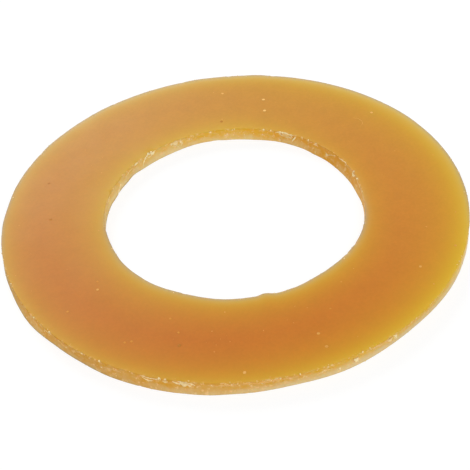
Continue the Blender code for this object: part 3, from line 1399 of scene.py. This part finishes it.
# Chips that show in the photograph, on the near outside and on the far wall of the bore
CHIPS = {
    Skin.OUTSIDE: (
        Spot(201.1, 0.1, 0.30), Spot(214.4, 0.1, 0.34), Spot(220.7, 0.1, 0.38),
        Spot(231.2, 0.2, 0.30), Spot(236.1, 0.1, 0.32), Spot(250.6, 0.1, 0.34),
        Spot(252.0, 0.1, 0.32), Spot(255.2, 0.3, 0.44, 1.0), Spot(256.4, 0.35, 0.40, 1.0),
        Spot(257.6, 0.5, 0.44, 1.0), Spot(262.0, 0.4, 0.30), Spot(264.1, 0.45, 0.32),
        Spot(266.3, 0.4, 0.26), Spot(270.1, 0.4, 0.30), Spot(272.8, 0.5, 0.32),
        Spot(274.7, 0.3, 0.30), Spot(276.7, 0.2, 0.30), Spot(278.8, 0.5, 0.34),
        Spot(286.5, 0.8, 0.34, 0.9), Spot(290.1, 1.4, 0.34), Spot(294.3, 1.1, 0.48, 1.0),
        Spot(295.7, 0.1, 0.30), Spot(299.0, 0.5, 0.32), Spot(302.6, 0.7, 0.44, 0.9),
        Spot(305.2, 0.8, 0.40, 0.9), Spot(226.0, 0.9, 0.28, 0.5), Spot(236.5, 1.0, 0.26, 0.5),
        Spot(240.3, 0.5, 0.26, 0.5), Spot(248.0, 0.8, 0.34, 0.8), Spot(270.4, 0.8, 0.28, 0.6),
    ),
    Skin.BORE: (
        Spot(165.2, 0.6, 0.34), Spot(155.2, 1.7, 0.32), Spot(151.7, 1.3, 0.32),
        Spot(138.9, 0.3, 0.40, 1.0), Spot(130.5, 0.2, 0.46, 1.0), Spot(129.0, 0.15, 0.44, 1.0),
        Spot(117.5, 0.4, 0.44, 0.9), Spot(115.0, 0.3, 0.44, 0.9), Spot(112.5, 0.6, 0.40, 0.9),
        Spot(108.4, 0.7, 0.40, 1.0), Spot(97.8, 0.2, 0.40), Spot(89.8, 1.0, 0.34),
        Spot(72.3, 0.1, 0.32), Spot(68.8, 0.1, 0.30), Spot(64.3, 0.3, 0.46, 1.0),
        Spot(61.5, 0.35, 0.46, 0.7), Spot(58.7, 0.5, 0.42, 1.0), Spot(64.5, 1.6, 0.30, 1.0),
        Spot(49.1, 0.1, 0.36), Spot(44.7, 0.2, 0.40), Spot(37.9, 1.1, 0.40),
        Spot(17.3, 0.05, 0.42, 1.0), Spot(12.0, 0.1, 0.40, 0.9), Spot(5.0, 0.3, 0.34),
        Spot(354.0, 0.4, 0.34), Spot(90.8, 1.2, 0.26, 0.7), Spot(86.9, 1.1, 0.22, 0.6),
        Spot(72.9, 1.0, 0.26, 0.7), Spot(33.0, 0.4, 0.28, 0.6), Spot(27.7, 0.1, 0.28, 0.6),
    ),
}

# Grains that show on the top face
GRAINS = {
    Skin.TOP: (
        Spot(76.3, 25.10, 0.34, 0.9), Spot(74.7, 22.32, 0.36, 1.0), Spot(90.3, 26.91, 0.30, 0.6),
        Spot(40.9, 28.48, 0.30, 0.6), Spot(218.6, 27.81, 0.26, 0.2), Spot(246.1, 22.02, 0.26, 0.1),
        Spot(250.6, 23.99, 0.24, 0.1), Spot(217.5, 22.79, 0.28, 0.4), Spot(214.3, 21.97, 0.24, 0.1),
        Spot(238.3, 27.62, 0.26, 0.1), Spot(239.7, 27.13, 0.26, 0.1), Spot(289.5, 26.35, 0.32, 0.3),
        Spot(289.4, 28.67, 0.32, 0.3), Spot(297.2, 23.45, 0.22, 0.1), Spot(326.9, 27.25, 0.30, 0.4),
        Spot(269.2, 29.98, 0.34, 0.5), Spot(91.9, 19.72, 0.32, -0.5), Spot(178.4, 24.97, 0.30, -0.5),
        Spot(252.3, 26.01, 0.34, -0.6), Spot(161.4, 27.04, 0.26, -0.6),
        Spot(337.5, 30.23, 0.26, 0.3),
    ),
}

# Threads and ridges of torn skin on the cut walls
STRANDS = (
    Strand(Skin.BORE, ((126.6, 0.12), (128.6, 0.34), (130.8, 0.20), (132.6, 0.38),
                       (134.1, 0.84), (135.1, 1.60)), 0.24, 1.0),
    Strand(Skin.BORE, ((127.4, 0.42), (129.4, 0.62), (131.6, 0.56)), 0.16, 0.8),
    Strand(Skin.BORE, ((138.0, 0.22), (139.0, 0.38), (140.2, 0.30)), 0.28, 0.9),
    Strand(Skin.BORE, ((141.0, 0.55), (143.0, 0.50), (146.0, 0.75), (149.0, 0.85)), 0.14, 0.5),
    Strand(Skin.BORE, ((151.4, 1.00), (152.6, 1.30), (153.4, 1.40)), 0.20, 1.0),
    Strand(Skin.BORE, ((153.6, 1.45), (154.8, 1.75), (155.8, 1.80)), 0.24, 1.0),
    Strand(Skin.BORE, ((164.8, 0.12), (166.2, 0.34), (167.2, 0.60)), 0.18, 0.7),
    Strand(Skin.BORE, ((113.2, 0.30), (112.0, 0.80), (112.8, 1.40)), 0.14, 0.9),
    Strand(Skin.BORE, ((117.5, 0.75), (115.0, 1.00), (113.5, 1.50)), 0.12, 0.8),
    Strand(Skin.BORE, ((118.6, 0.30), (115.6, 0.22), (112.6, 0.34)), 0.12, 0.7),
    Strand(Skin.BORE, ((66.4, 0.20), (63.6, 0.12), (60.4, 0.22), (57.0, 0.10)), 0.26, 1.0),
    Strand(Skin.BORE, ((56.0, 0.20), (56.9, 0.68), (58.1, 1.30)), 0.26, 1.0),
    Strand(Skin.BORE, ((64.6, 0.52), (61.4, 0.74), (58.4, 0.62)), 0.20, 0.8),
    Strand(Skin.BORE, ((46.2, 0.40), (44.6, 0.28), (43.2, 0.34)), 0.13, 0.7),
    Strand(Skin.BORE, ((38.8, 0.74), (37.2, 0.98), (35.2, 0.62), (33.0, 0.40)), 0.14, 0.5),
    Strand(Skin.BORE, ((30.2, 0.18), (26.4, 0.08), (22.6, 0.12)), 0.14, 0.6),
    Strand(Skin.BORE, ((20.0, 0.10), (12.0, 0.25), (4.0, 0.30), (356.0, 0.45)), 0.11, 0.4),
    Strand(Skin.OUTSIDE, ((218.8, 0.20), (220.0, 0.38), (221.6, 0.28)), 0.15, 0.5),
    Strand(Skin.OUTSIDE, ((222.6, 0.42), (224.0, 0.52), (226.2, 0.88)), 0.14, 0.3),
    Strand(Skin.OUTSIDE, ((236.6, 0.80), (239.0, 0.62), (241.6, 0.55)), 0.13, 0.3),
    Strand(Skin.OUTSIDE, ((246.2, 0.10), (248.4, 0.26), (251.0, 0.16)), 0.14, 0.7),
    Strand(Skin.OUTSIDE, ((246.8, 0.34), (248.0, 0.76), (249.4, 0.52)), 0.15, 0.7),
    Strand(Skin.OUTSIDE, ((253.6, 0.18), (254.8, 0.56), (256.4, 0.40), (257.8, 0.84)), 0.28, 0.7),
    Strand(Skin.OUTSIDE, ((254.8, 0.12), (256.6, 0.26), (258.6, 0.56)), 0.20, 0.6),
    Strand(Skin.OUTSIDE, ((261.2, 0.32), (263.2, 0.44), (266.8, 0.40)), 0.20, 0.2),
    Strand(Skin.OUTSIDE, ((268.0, 0.30), (272.0, 0.46), (277.5, 0.32), (283.0, 0.46)), 0.20, 0.1),
    Strand(Skin.OUTSIDE, ((284.6, 1.05), (286.8, 0.75), (288.4, 0.85)), 0.16, 0.4),
    Strand(Skin.OUTSIDE, ((293.6, 0.65), (294.4, 1.05), (294.6, 1.50)), 0.24, 0.9),
    Strand(Skin.OUTSIDE, ((296.6, 0.20), (300.0, 0.42), (303.4, 0.56)), 0.22, 0.3),
    Strand(Skin.OUTSIDE, ((304.0, 0.30), (305.3, 0.76), (305.0, 1.25)), 0.24, 0.9),
    Strand(Skin.OUTSIDE, ((306.2, 0.44), (309.0, 0.38), (312.4, 0.46)), 0.20, 0.2),
)

# Skins that the blade lifted and left hanging
FLAKES = (
    Flake(Skin.BORE, 61.4, 0.20, 1.2, 0.46, 0.06, 0.25),
    Flake(Skin.BORE, 128.6, 0.08, 0.7, 0.32, 0.16, 0.85),
    Flake(Skin.BORE, 115.8, 0.25, 0.9, 0.42, 0.18, 0.55),
    Flake(Skin.BORE, 15.6, 0.02, 0.8, 0.34, 0.18, 0.60),
    Flake(Skin.OUTSIDE, 256.2, 0.22, 0.9, 0.46, 0.10, 0.60),
    Flake(Skin.OUTSIDE, 252.0, 0.22, 0.6, 0.30, 0.08, 0.35),
    Flake(Skin.OUTSIDE, 294.0, 0.60, 0.6, 0.50, 0.10, 0.80),
    Flake(Skin.OUTSIDE, 303.0, 0.35, 0.8, 0.34, 0.08, 0.55),
    Flake(Skin.OUTSIDE, 34.0, 0.20, 1.2, 0.50, 0.10, 0.50),
    Flake(Skin.OUTSIDE, 118.0, 0.15, 1.0, 0.55, 0.10, 0.60),
    Flake(Skin.BORE, 238.0, 0.10, 1.0, 0.50, 0.20, 0.50),
)

# A fibre that clings to the top face
FIBRES = (
    Strand(Skin.TOP, ((43.6, 25.70), (42.2, 26.05), (40.3, 26.00), (39.0, 25.55), (38.6, 24.95)),
           0.05, 0.6),
)


@dataclass
class StuckGrains:
    """Grains stuck to the ring: named ones, and fine ones strewn where an attribute says."""

    name: str
    ring: bpy.types.Object
    shape: SealRing
    spots: Mapping[Skin, Sequence[Spot]]
    finish: GrainFinish
    strewn_on: str
    strewn_per_mm2: float
    least: float
    most: float
    kind: GrainKind = GrainKind.LUMP
    share_of_spot: float = 1.0
    palest: float = 0.8
    ball_detail: int = 2
    seed: int = 7
    clumps: Noise = Noise(260.0)
    clump_density: Band = Band(0.40, 0.62, 0.15, 1.0)
    lumps: Noise = Noise(9000.0, 2.0, 0.6)

    def places(self) -> bpy.types.Object:
        """Place the named grains.

        Returns:
            Their middles as a guide, with size and tone.
        """
        points, sizes, tones = [], [], []
        for skin, spots in self.spots.items():
            for spot in spots:
                points.append(self.shape.place(skin, spot.azimuth, spot.along))
                sizes.append(0.5 * self.share_of_spot * spot.size * MM)
                tones.append(spot.tone)
        return guide("grain_places", points, size=sizes, tone=tones)

    def strewn(self, graph: GeometryTree, surface: Plug) -> bpy.types.NodeSocket:
        """Strew fine grains, thicker in some places than in others.

        Args:
            graph: the grains' tree.
            surface: the ring.

        Returns:
            Their points, with size and tone.
        """
        given = graph.given
        clumped = graph.spread(graph.noise(graph.position(), self.clumps), self.clump_density)
        density = graph.product(given["Density"], graph.attribute(self.strewn_on), clumped)
        scatter = graph.node("GeometryNodeDistributePointsOnFaces", surface, None, density)
        graph.feed(scatter.inputs["Seed"], given["Seed"])
        lot = graph.lot(0.0, 1.0, given["Seed"])
        size = graph.blend(graph.maths("POWER", lot, 2.0), given["Least"], given["Most"])
        sized = graph.store(scatter.outputs["Points"], "size", size)
        return graph.store(sized, "tone", graph.product(lot, self.palest))

    def shaped(self, graph: GeometryTree, points: Plug) -> bpy.types.NodeSocket:
        """Put a rugged grain on every point.

        Args:
            graph: the grains' tree.
            points: their middles, with size.

        Returns:
            The grains.
        """
        form = self.kind.value
        seed = graph.given["Seed"]
        turn = graph.vector_lot((0.0, 0.0, 0.0), form.turn, seed)
        stretch = graph.vector_lot(form.least_stretch, form.most_stretch, seed)
        ball = graph.plug("GeometryNodeMeshIcoSphere", 1.0, self.ball_detail)
        grains = graph.plug("GeometryNodeInstanceOnPoints", points, None, ball, None, None,
                            graph.plug("FunctionNodeEulerToRotation", turn),
                            graph.scaled(stretch, graph.attribute("size")))
        grains = graph.plug("GeometryNodeRealizeInstances", grains)
        lumps = graph.about_zero(graph.noise(graph.position(), self.lumps))
        push = graph.product(lumps, graph.attribute("size"), form.rugged)
        return graph.moved(grains, None, graph.scaled(graph.normal(), push))

    def build(self) -> bpy.types.Object:
        """Make the grains.

        Returns:
            One mesh of all of them.
        """
        graph = GeometryTree("stuck_grains", {
            "Places": Input.OBJECT, "Surface": Input.OBJECT, "Density": Input.NUMBER,
            "Least": Input.NUMBER, "Most": Input.NUMBER, "Seed": Input.COUNT,
            "Finish": Input.MATERIAL})
        surface = graph.contents("Surface")
        named = graph.plug("GeometryNodeMeshToPoints", graph.contents("Places"))
        named = graph.seated(named, surface, 0.0)
        points = graph.joined(named, self.strewn(graph, surface))
        graph.finish(self.shaped(graph, points))

        places = self.places()
        made = graph.make(self.name, {
            "Places": places, "Surface": self.ring, "Density": self.strewn_per_mm2 / MM**2,
            "Least": self.least, "Most": self.most, "Seed": self.seed,
            "Finish": self.finish.material()})
        discard([places])
        hand_over(made)
        return made


@dataclass
class Strands:
    """Thin threads that lie on the ring, thinner towards both ends."""

    name: str
    ring: bpy.types.Object
    shape: SealRing
    strands: Sequence[Strand]
    finish: GrainFinish
    step: float = 0.06 * MM
    sides: int = 7
    wobble: Noise = Noise(2200.0)
    unrest: float = 0.20 * MM
    proud: float = 0.2
    thinnest: float = 0.02
    taper: float = 0.5
    uneven: Noise = Noise(5200.0)
    uneven_girth: Band = Band(0.25, 0.75, 0.45, 1.35)

    def courses(self) -> bpy.types.Object:
        """Lay out the threads' courses.

        Returns:
            A guide of joined points, with width and tone.
        """
        points, edges, widths, tones = [], [], [], []
        for strand in self.strands:
            for i, (azimuth, along) in enumerate(strand.path):
                if i:
                    edges.append((len(points) - 1, len(points)))
                points.append(self.shape.place(strand.skin, azimuth, along))
                widths.append(0.5 * strand.width * MM)
                tones.append(strand.tone)
        return guide("courses", points, edges, width=widths, tone=tones)

    def build(self) -> bpy.types.Object:
        """Make the threads.

        Returns:
            One mesh of all of them.
        """
        graph = GeometryTree("strands", {
            "Courses": Input.OBJECT, "Surface": Input.OBJECT, "Step": Input.NUMBER,
            "Sides": Input.COUNT, "Unrest": Input.NUMBER, "Finish": Input.MATERIAL})
        given = graph.given
        surface = graph.contents("Surface")
        curve = graph.plug("GeometryNodeMeshToCurve", graph.contents("Courses"))
        curve = graph.plug("GeometryNodeResampleCurve", curve, None, given["Step"], mode="LENGTH")
        sway = graph.sway(graph.position(), self.wobble)
        curve = graph.moved(curve, None, graph.scaled(sway, given["Unrest"]))
        width = graph.attribute("width")
        curve = graph.seated(curve, surface, graph.product(width, self.proud))

        share = graph.plug("GeometryNodeSplineParameter")
        taper = graph.maths("SINE", graph.product(share, pi))
        taper = graph.maths("POWER", graph.maths("MAXIMUM", taper, self.thinnest), self.taper)
        uneven = graph.spread(graph.noise(graph.position(), self.uneven), self.uneven_girth)
        girth = graph.product(taper, uneven, width)
        ring = graph.plug("GeometryNodeCurvePrimitiveCircle", given["Sides"], 1.0, mode="RADIUS")
        thread = graph.plug("GeometryNodeCurveToMesh", curve, ring, girth, True)
        graph.finish(thread)

        courses = self.courses()
        made = graph.make(self.name, {
            "Courses": courses, "Surface": self.ring, "Step": self.step, "Sides": self.sides,
            "Unrest": self.unrest, "Finish": self.finish.material()})
        discard([courses])
        hand_over(made)
        return made


@dataclass
class TornFlakes:
    """Thin curled skins, each held by its upper edge."""

    ring: bpy.types.Object
    shape: SealRing
    flakes: Sequence[Flake]
    finish: GrainFinish
    across: int = 19
    down: int = 9
    gauge: float = 0.03 * MM
    fray: float = 0.24 * MM
    tatters: Noise = Noise(2400.0, 3.0)
    curl: float = 1.15
    tuck: float = 0.10
    point: float = 0.55

    def hinges(self) -> bpy.types.Object:
        """Lay out where the skins hang.

        Returns:
            A guide with their sizes, facing and tone.
        """
        numbers: dict[str, list[float]] = {
            name: [] for name in ("facing", "length", "drop", "lift", "tone")}
        points = []
        for flake in self.flakes:
            points.append(self.shape.place(flake.skin, flake.azimuth,
                                           flake.below_top + 0.5 * flake.drop))
            turned = 0.0 if flake.skin is Skin.OUTSIDE else 180.0
            numbers["facing"].append(radians(flake.azimuth + turned))
            numbers["length"].append(flake.length * MM)
            numbers["drop"].append(flake.drop * MM)
            numbers["lift"].append(flake.lift * MM)
            numbers["tone"].append(flake.tone)
        return guide("hinges", points, **numbers)

    def skin(self, graph: GeometryTree) -> bpy.types.NodeSocket:
        """Make one skin of unit size, facing +X.

        Its foot curls away from the wall, most in the middle, and rises towards both ends,
        where the share named ends is 1. Its upper edge is tucked into the wall.

        Args:
            graph: the skins' tree.

        Returns:
            The skin's socket.
        """
        sheet = graph.plug("GeometryNodeMeshGrid", 1.0, 1.0, graph.given["Across"],
                           graph.given["Down"])
        place = graph.axes(graph.position())
        low = graph.maths("SUBTRACT", 0.5, place["Y"])
        ends = graph.product(graph.maths("POWER", place["X"], 2.0), 4.0)
        curl = graph.product(graph.maths("POWER", low, 2.0),
                             graph.maths("SUBTRACT", self.curl, ends))
        out = graph.maths("SUBTRACT", curl, self.tuck)
        foot = graph.maths("MULTIPLY_ADD", graph.product(low, ends), self.point, place["Y"])
        return graph.moved(sheet, graph.plug("ShaderNodeCombineXYZ", out, place["X"], foot))

    def build(self) -> bpy.types.Object:
        """Make the skins.

        Returns:
            One mesh of all of them.
        """
        graph = GeometryTree("torn_flakes", {
            "Hinges": Input.OBJECT, "Across": Input.COUNT, "Down": Input.COUNT,
            "Gauge": Input.NUMBER, "Fray": Input.NUMBER, "Finish": Input.MATERIAL})
        hinges = graph.plug("GeometryNodeMeshToPoints", graph.contents("Hinges"))
        facing = graph.plug("ShaderNodeCombineXYZ", 0.0, 0.0, graph.attribute("facing"))
        size = graph.plug("ShaderNodeCombineXYZ", *(graph.attribute(name) for name in (
            "lift", "length", "drop")))
        skins = graph.plug("GeometryNodeInstanceOnPoints", hinges, None, self.skin(graph), None,
                           None, graph.plug("FunctionNodeEulerToRotation", facing), size)
        skins = graph.plug("GeometryNodeRealizeInstances", skins)
        ragged = graph.sway(graph.position(), self.tatters)
        skins = graph.moved(skins, None, graph.scaled(ragged, graph.given["Fray"]))
        shell = graph.plug("GeometryNodeExtrudeMesh", skins, None, None, graph.given["Gauge"],
                           False, mode="FACES")
        back = graph.plug("GeometryNodeFlipFaces", skins)
        shell = graph.plug("GeometryNodeMergeByDistance", graph.joined(shell, back), None,
                           MERGE_DISTANCE)
        graph.finish(shell)

        hinges_guide = self.hinges()
        made = graph.make("torn_flakes", {
            "Hinges": hinges_guide, "Across": self.across, "Down": self.down,
            "Gauge": self.gauge, "Fray": self.fray, "Finish": self.finish.material()})
        discard([hinges_guide])
        hand_over(made)
        return made


@dataclass(frozen=True)
class PhotoCamera:
    """The camera of the photograph, fitted to the ring's edges."""

    elevation: float = radians(40.476)
    distance: float = 158.67 * MM
    turn_left: float = radians(0.0486)
    look_up: float = radians(-1.1258)
    roll: float = radians(-5.0602)
    lens: float = 89.19
    sensor_width: float = 36.0
    clip_start: float = 1.0 * MM

    def place(self, aim: Vector) -> bpy.types.Object:
        """Put the camera at its distance from the ring's middle.

        Args:
            aim: middle of the ring.

        Returns:
            The scene's camera.
        """
        back = Vector((0.0, -cos(self.elevation), sin(self.elevation)))
        right = Vector((1.0, 0.0, 0.0))
        up = back.cross(right)
        stand = aim + back * self.distance
        aside = Matrix.Rotation(self.turn_left, 3, up)
        back, right = aside @ back, aside @ right
        nod = Matrix.Rotation(self.look_up, 3, right)
        back, up = nod @ back, nod @ up
        tilt = Matrix.Rotation(self.roll, 3, back)
        right, up = tilt @ right, tilt @ up
        data = bpy.data.cameras.new("photo_camera")
        data.lens = self.lens
        data.sensor_width = self.sensor_width
        data.clip_start = self.clip_start
        camera = bpy.data.objects.new("photo_camera", data)
        bpy.context.scene.collection.objects.link(camera)
        camera.matrix_world = Matrix.Translation(stand) @ Matrix(
            (right, up, back)).transposed().to_4x4()
        bpy.context.scene.camera = camera
        return camera


@dataclass(frozen=True)
class Lamp:
    """A soft square lamp, placed by direction from the ring."""

    name: str
    azimuth: float
    elevation: float
    distance: float
    side: float
    power: float

    def hang(self) -> bpy.types.Object:
        """Hang the lamp, facing the ring's middle.

        Returns:
            The lamp.
        """
        turn, rise = radians(self.azimuth), radians(self.elevation)
        way = Vector((cos(turn) * cos(rise), sin(turn) * cos(rise), sin(rise)))
        data = bpy.data.lights.new(self.name, "AREA")
        data.shape = "SQUARE"
        data.size = self.side
        data.energy = self.power
        lamp = bpy.data.objects.new(self.name, data)
        bpy.context.scene.collection.objects.link(lamp)
        lamp.location = way * self.distance
        lamp.rotation_mode = "QUATERNION"
        lamp.rotation_quaternion = way.to_track_quat("Z", "Y")
        return lamp


@dataclass(frozen=True)
class Studio:
    """A plain pale floor under soft light, on white."""

    floor_half: float = 0.6
    floor_drop: float = 0.02 * MM
    sky: float = 0.42
    paper: Colour = (0.82, 0.82, 0.82, 1.0)
    shown_paper: Colour = (0.25, 0.25, 0.25, 1.0)
    shown_glow: float = 0.80
    lamps: tuple[Lamp, ...] = (
        Lamp("key_lamp", 112.0, 28.0, 0.60, 0.30, 2.0),
        Lamp("fill_lamp", 286.0, 42.0, 0.70, 0.50, 2.3),
    )

    @staticmethod
    def seen_directly(graph: Graph) -> bpy.types.NodeSocket:
        """Tell the rays that show a background: from the camera, off gloss or through glass.

        Args:
            graph: graph of the floor's material or of the world.

        Returns:
            A socket that is 1 for those rays and 0 for the others.
        """
        path = graph.node("ShaderNodeLightPath").outputs
        seen = graph.maths("MAXIMUM", path["Is Camera Ray"], path["Is Glossy Ray"])
        return graph.maths("MAXIMUM", seen, path["Is Transmission Ray"])

    def floor_material(self) -> bpy.types.Material:
        """Make pale paper that is white to the eye and still shows a soft shadow.

        Returns:
            The material.
        """
        material = bpy.data.materials.new("floor_paper")
        material.use_nodes = True
        graph = Graph(material.node_tree)
        graph.tree.nodes.remove(graph.tree.nodes["Principled BSDF"])
        paper = graph.plug("ShaderNodeBsdfDiffuse", self.paper)
        shade = graph.plug("ShaderNodeBsdfDiffuse", self.shown_paper)
        glow = graph.plug("ShaderNodeEmission", WHITE, self.shown_glow)
        shown = graph.plug("ShaderNodeAddShader", shade, glow)
        both = graph.plug("ShaderNodeMixShader", self.seen_directly(graph), paper, shown)
        graph.feed(graph.tree.nodes["Material Output"].inputs["Surface"], both)
        return material

    def floor(self) -> bpy.types.Object:
        """Lay the floor.

        Returns:
            The floor, which is no part of the object.
        """
        mesh = bpy.data.meshes.new("floor")
        form = bmesh.new()
        bmesh.ops.create_grid(form, x_segments=1, y_segments=1, size=self.floor_half)
        form.to_mesh(mesh)
        form.free()
        floor = bpy.data.objects.new("floor", mesh)
        floor.location.z = -self.floor_drop
        bpy.context.scene.collection.objects.link(floor)
        mesh.materials.append(self.floor_material())
        return floor

    def surround(self) -> bpy.types.World:
        """Light the scene from all round; the camera sees plain white.

        Returns:
            The scene's world.
        """
        world = bpy.data.worlds.new("studio")
        bpy.context.scene.world = world
        world.use_nodes = True
        graph = Graph(world.node_tree)
        sky = graph.tree.nodes["Background"].inputs
        graph.feed(sky["Color"], WHITE)
        graph.feed(sky["Strength"], graph.blend(self.seen_directly(graph), self.sky, 1.0))
        return world

    def set_up(self) -> None:
        """Lay the floor, light it and choose the plain view."""
        self.floor()
        self.surround()
        for lamp in self.lamps:
            lamp.hang()
        bpy.context.scene.view_settings.view_transform = "Standard"


def main() -> None:
    """Build the dressed seal, its studio and its camera."""
    logging.basicConfig(level=logging.INFO, format="%(name)s: %(message)s")
    shape = SealRing()
    ring = shape.build(CHIPS)
    torn = GrainFinish("torn_silicone")
    dust = GrainFinish("stuck_dust", plain=(0.680, 0.265, 0.022, 1.0),
                       pale=(0.970, 0.620, 0.190, 1.0))
    StuckGrains("chip_crumbs", ring, shape, CHIPS, torn, strewn_on="arris", strewn_per_mm2=0.0,
                least=0.03 * MM, most=0.05 * MM, share_of_spot=0.75, ball_detail=3).build()
    StuckGrains("rim_dust", ring, shape, {}, torn, strewn_on="arris", strewn_per_mm2=6.0,
                least=0.04 * MM, most=0.13 * MM, palest=0.6, ball_detail=1, seed=11).build()
    StuckGrains("face_grains", ring, shape, GRAINS, dust, strewn_on="face", strewn_per_mm2=0.10,
                least=0.04 * MM, most=0.10 * MM, kind=GrainKind.FLAT, share_of_spot=1.5,
                palest=0.4, seed=5).build()
    Strands("torn_strands", ring, shape, STRANDS, torn).build()
    Strands("clinging_fibre", ring, shape, FIBRES, dust, unrest=0.04 * MM).build()
    TornFlakes(ring, shape, FLAKES, torn).build()
    Studio().set_up()
    PhotoCamera().place(Vector((0.0, 0.0, 0.5 * shape.top)))


if __name__ == "__main__":
    main()
